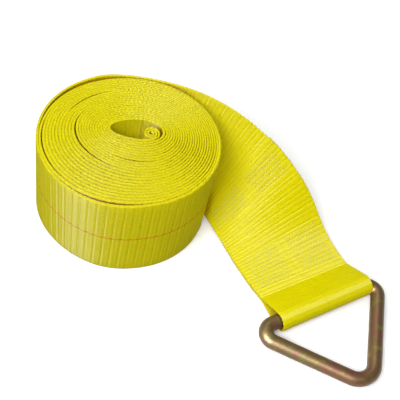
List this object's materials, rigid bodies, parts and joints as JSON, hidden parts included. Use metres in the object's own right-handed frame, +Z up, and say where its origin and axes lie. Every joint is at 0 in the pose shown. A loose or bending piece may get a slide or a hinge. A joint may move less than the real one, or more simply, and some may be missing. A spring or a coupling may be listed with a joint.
{
  "type": "winch strap",
  "caption": "Wide flat webbing strap rolled up on its edge, with its free end sewn round the bar of a bent steel delta ring.",
  "frame": {"origin": "bottom centre of the whole object's box, on the ground that the roll stands on", "axes": "+Z up along the roll's axis, -Y along the free strap towards the ring, +X along the ring's straight bar"},
  "size_m": [0.274, 0.3524, 0.1016],
  "materials": {
    "webbing": "woven polyester with cross ribs, satin",
    "plated_steel": "yellow chromate zinc, semi-gloss"
  },
  "bodies": {
    "strap": {"webbing": "webbing"},
    "ring": {"delta_ring": "plated_steel"}
  },
  "joints": [
    {"name": "ring_hinge", "type": "hinge", "parent": "strap", "child": "ring", "pos_m": [0.0669, -0.08789, 0.0097], "axis": [1, 0, 0], "range_deg": [-150, 128]}
  ]
}
